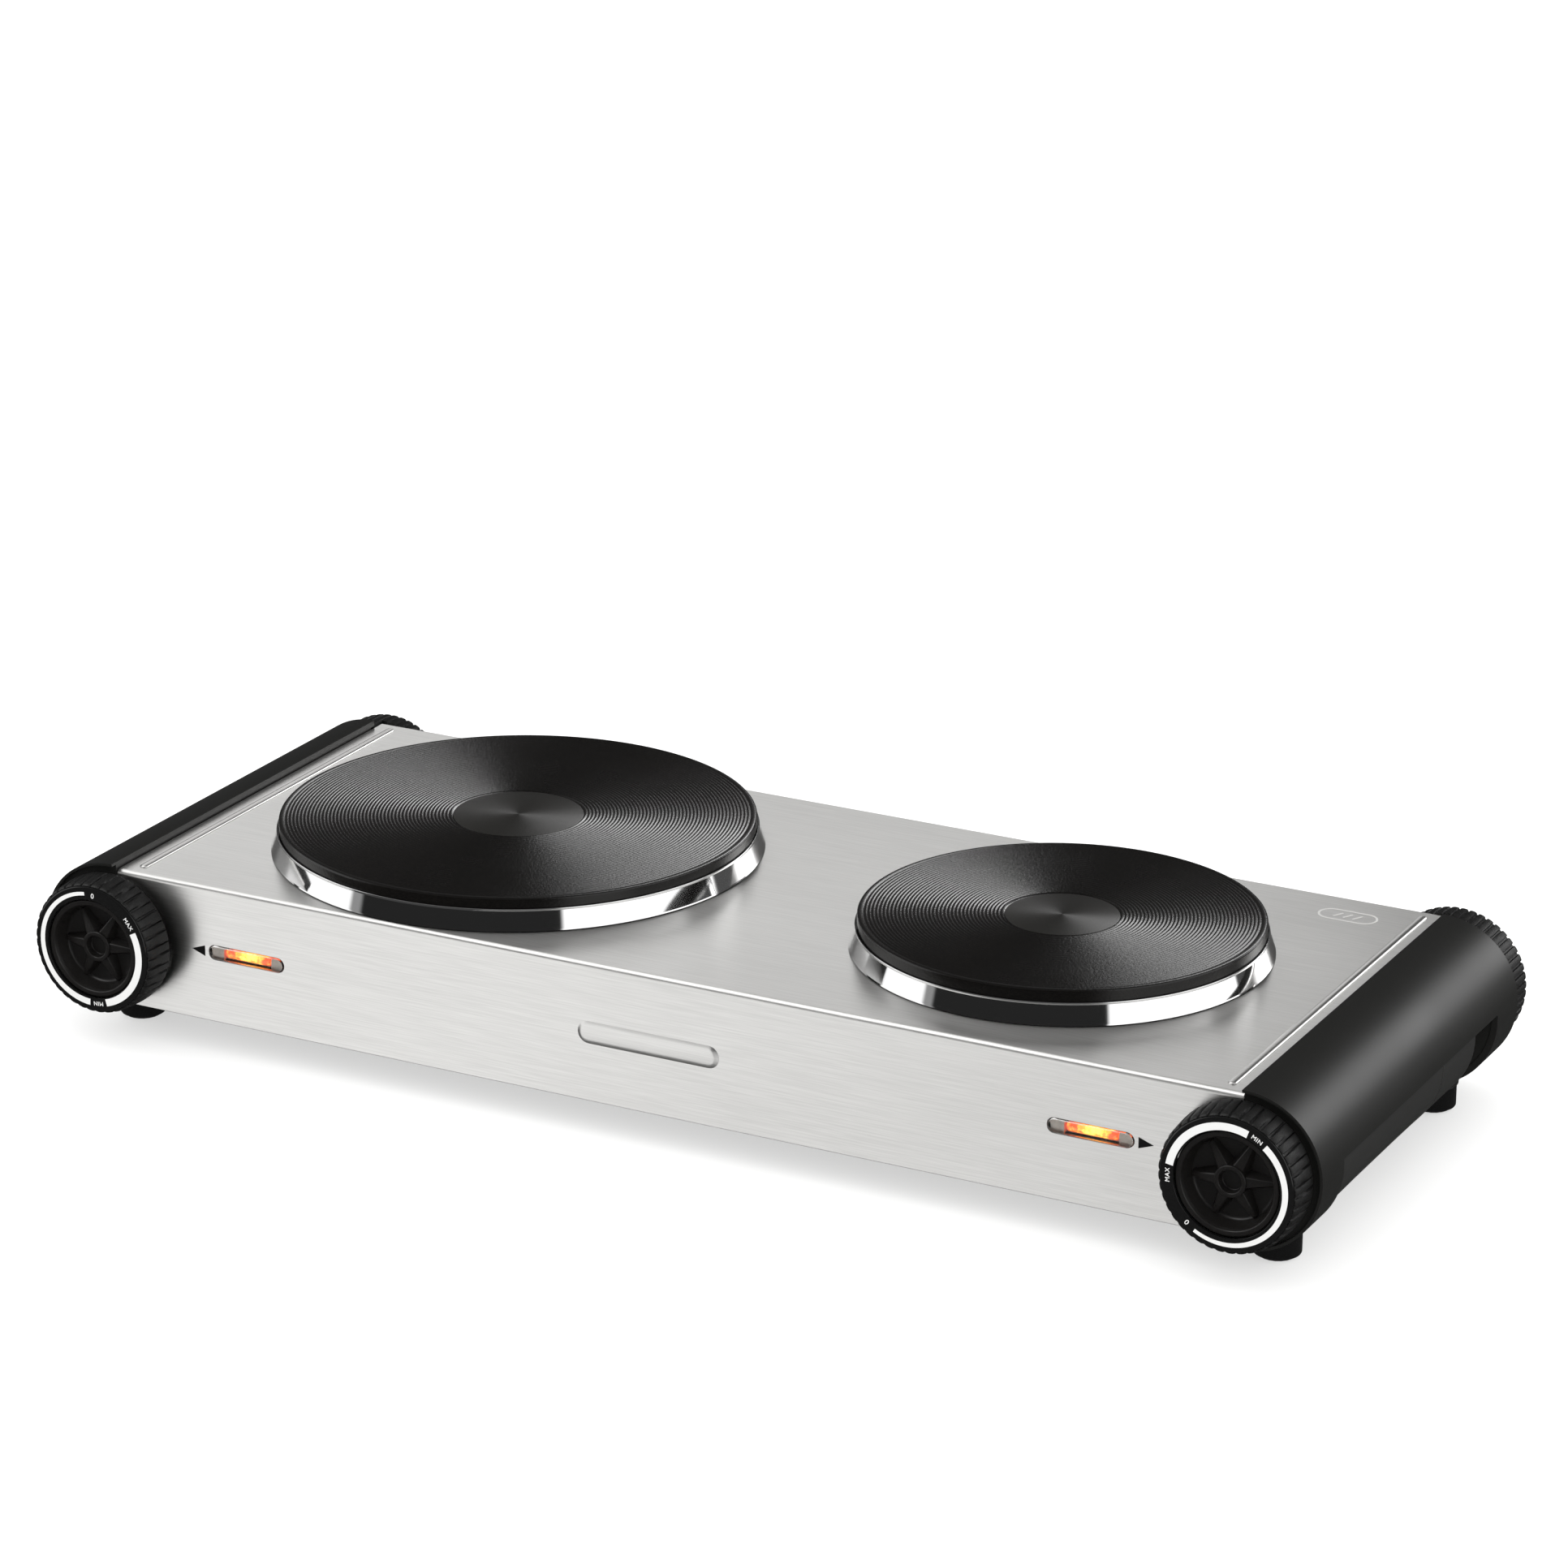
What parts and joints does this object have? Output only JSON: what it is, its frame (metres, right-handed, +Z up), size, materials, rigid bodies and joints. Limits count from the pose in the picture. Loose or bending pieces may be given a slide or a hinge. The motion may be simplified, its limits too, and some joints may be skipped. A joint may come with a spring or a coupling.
{
  "type": "hot plate burner",
  "caption": "Table-top electric cooker with a large and a small cast-iron hot plate on a brushed steel body, black end handles and turning front knobs.",
  "frame": {"origin": "on the table, under the middle of the whole object's box", "axes": "+X to the right seen from the front (towards the small plate), +Y to the rear, +Z up"},
  "size_m": [0.539, 0.2256, 0.0822],
  "materials": {
    "brushed_steel": "brushed along the length",
    "polished_chrome": "polished",
    "cast_iron": "turned in fine rings, seasoned black",
    "black_plastic": "satin black",
    "gloss_black_plastic": "gloss black with white print",
    "rubber": "matte",
    "zinc_steel": "zinc plated",
    "ceramic": "unglazed",
    "clear_lens": "clear, smooth",
    "neon_lamp": "glowing orange",
    "wire_insulation": "glass-braid sleeve"
  },
  "bodies": {
    "chassis": {"top_cover": "brushed_steel", "base_plate": "zinc_steel", "large_hot_plate": "cast_iron", "large_trim_ring": "polished_chrome", "large_heating_element": "ceramic", "large_element_cover": "zinc_steel", "large_clamp_bridge": "zinc_steel", "large_centre_stud": "zinc_steel", "large_centre_nut": "zinc_steel", "small_hot_plate": "cast_iron", "small_trim_ring": "polished_chrome", "small_heating_element": "ceramic", "small_element_cover": "zinc_steel", "small_clamp_bridge": "zinc_steel", "small_centre_stud": "zinc_steel", "small_centre_nut": "zinc_steel", "left_end_handle": "black_plastic", "left_grip_liner": "black_plastic", "left_rear_cap": "black_plastic", "left_thermostat": "ceramic", "left_thermostat_bracket": "zinc_steel", "left_lamp_lens": "clear_lens", "left_neon_lamp": "neon_lamp", "left_supply_wire": "wire_insulation", "left_element_wire": "wire_insulation", "left_lamp_wire": "wire_insulation", "right_end_handle": "black_plastic", "right_grip_liner": "black_plastic", "right_rear_cap": "black_plastic", "right_thermostat": "ceramic", "right_thermostat_bracket": "zinc_steel", "right_lamp_lens": "clear_lens", "right_neon_lamp": "neon_lamp", "right_supply_wire": "wire_insulation", "right_element_wire": "wire_insulation", "right_lamp_wire": "wire_insulation", "front_left_foot": "black_plastic", "front_left_foot_pad": "rubber", "front_left_base_screw": "zinc_steel", "rear_left_foot": "black_plastic", "rear_left_foot_pad": "rubber", "rear_left_base_screw": "zinc_steel", "front_right_foot": "black_plastic", "front_right_foot_pad": "rubber", "front_right_base_screw": "zinc_steel", "rear_right_foot": "black_plastic", "rear_right_foot_pad": "rubber", "rear_right_base_screw": "zinc_steel", "terminal_block": "ceramic", "earth_screw": "zinc_steel", "cord_bush": "rubber"},
    "left_dial": {"left_knob": "black_plastic", "left_dial_ring": "gloss_black_plastic", "left_knob_shaft": "zinc_steel", "left_knob_clip": "zinc_steel"},
    "right_dial": {"right_knob": "black_plastic", "right_dial_ring": "gloss_black_plastic", "right_knob_shaft": "zinc_steel", "right_knob_clip": "zinc_steel"}
  },
  "joints": [
    {"name": "left_knob_turn", "type": "hinge", "parent": "chassis", "child": "left_dial", "pos_m": [-0.2389, -0.0952, 0.0413], "axis": [0, 1, 0], "range_deg": [-274, 36]},
    {"name": "right_knob_turn", "type": "hinge", "parent": "chassis", "child": "right_dial", "pos_m": [0.2389, -0.0952, 0.0413], "axis": [0, 1, 0], "range_deg": [-310, 0]}
  ]
}
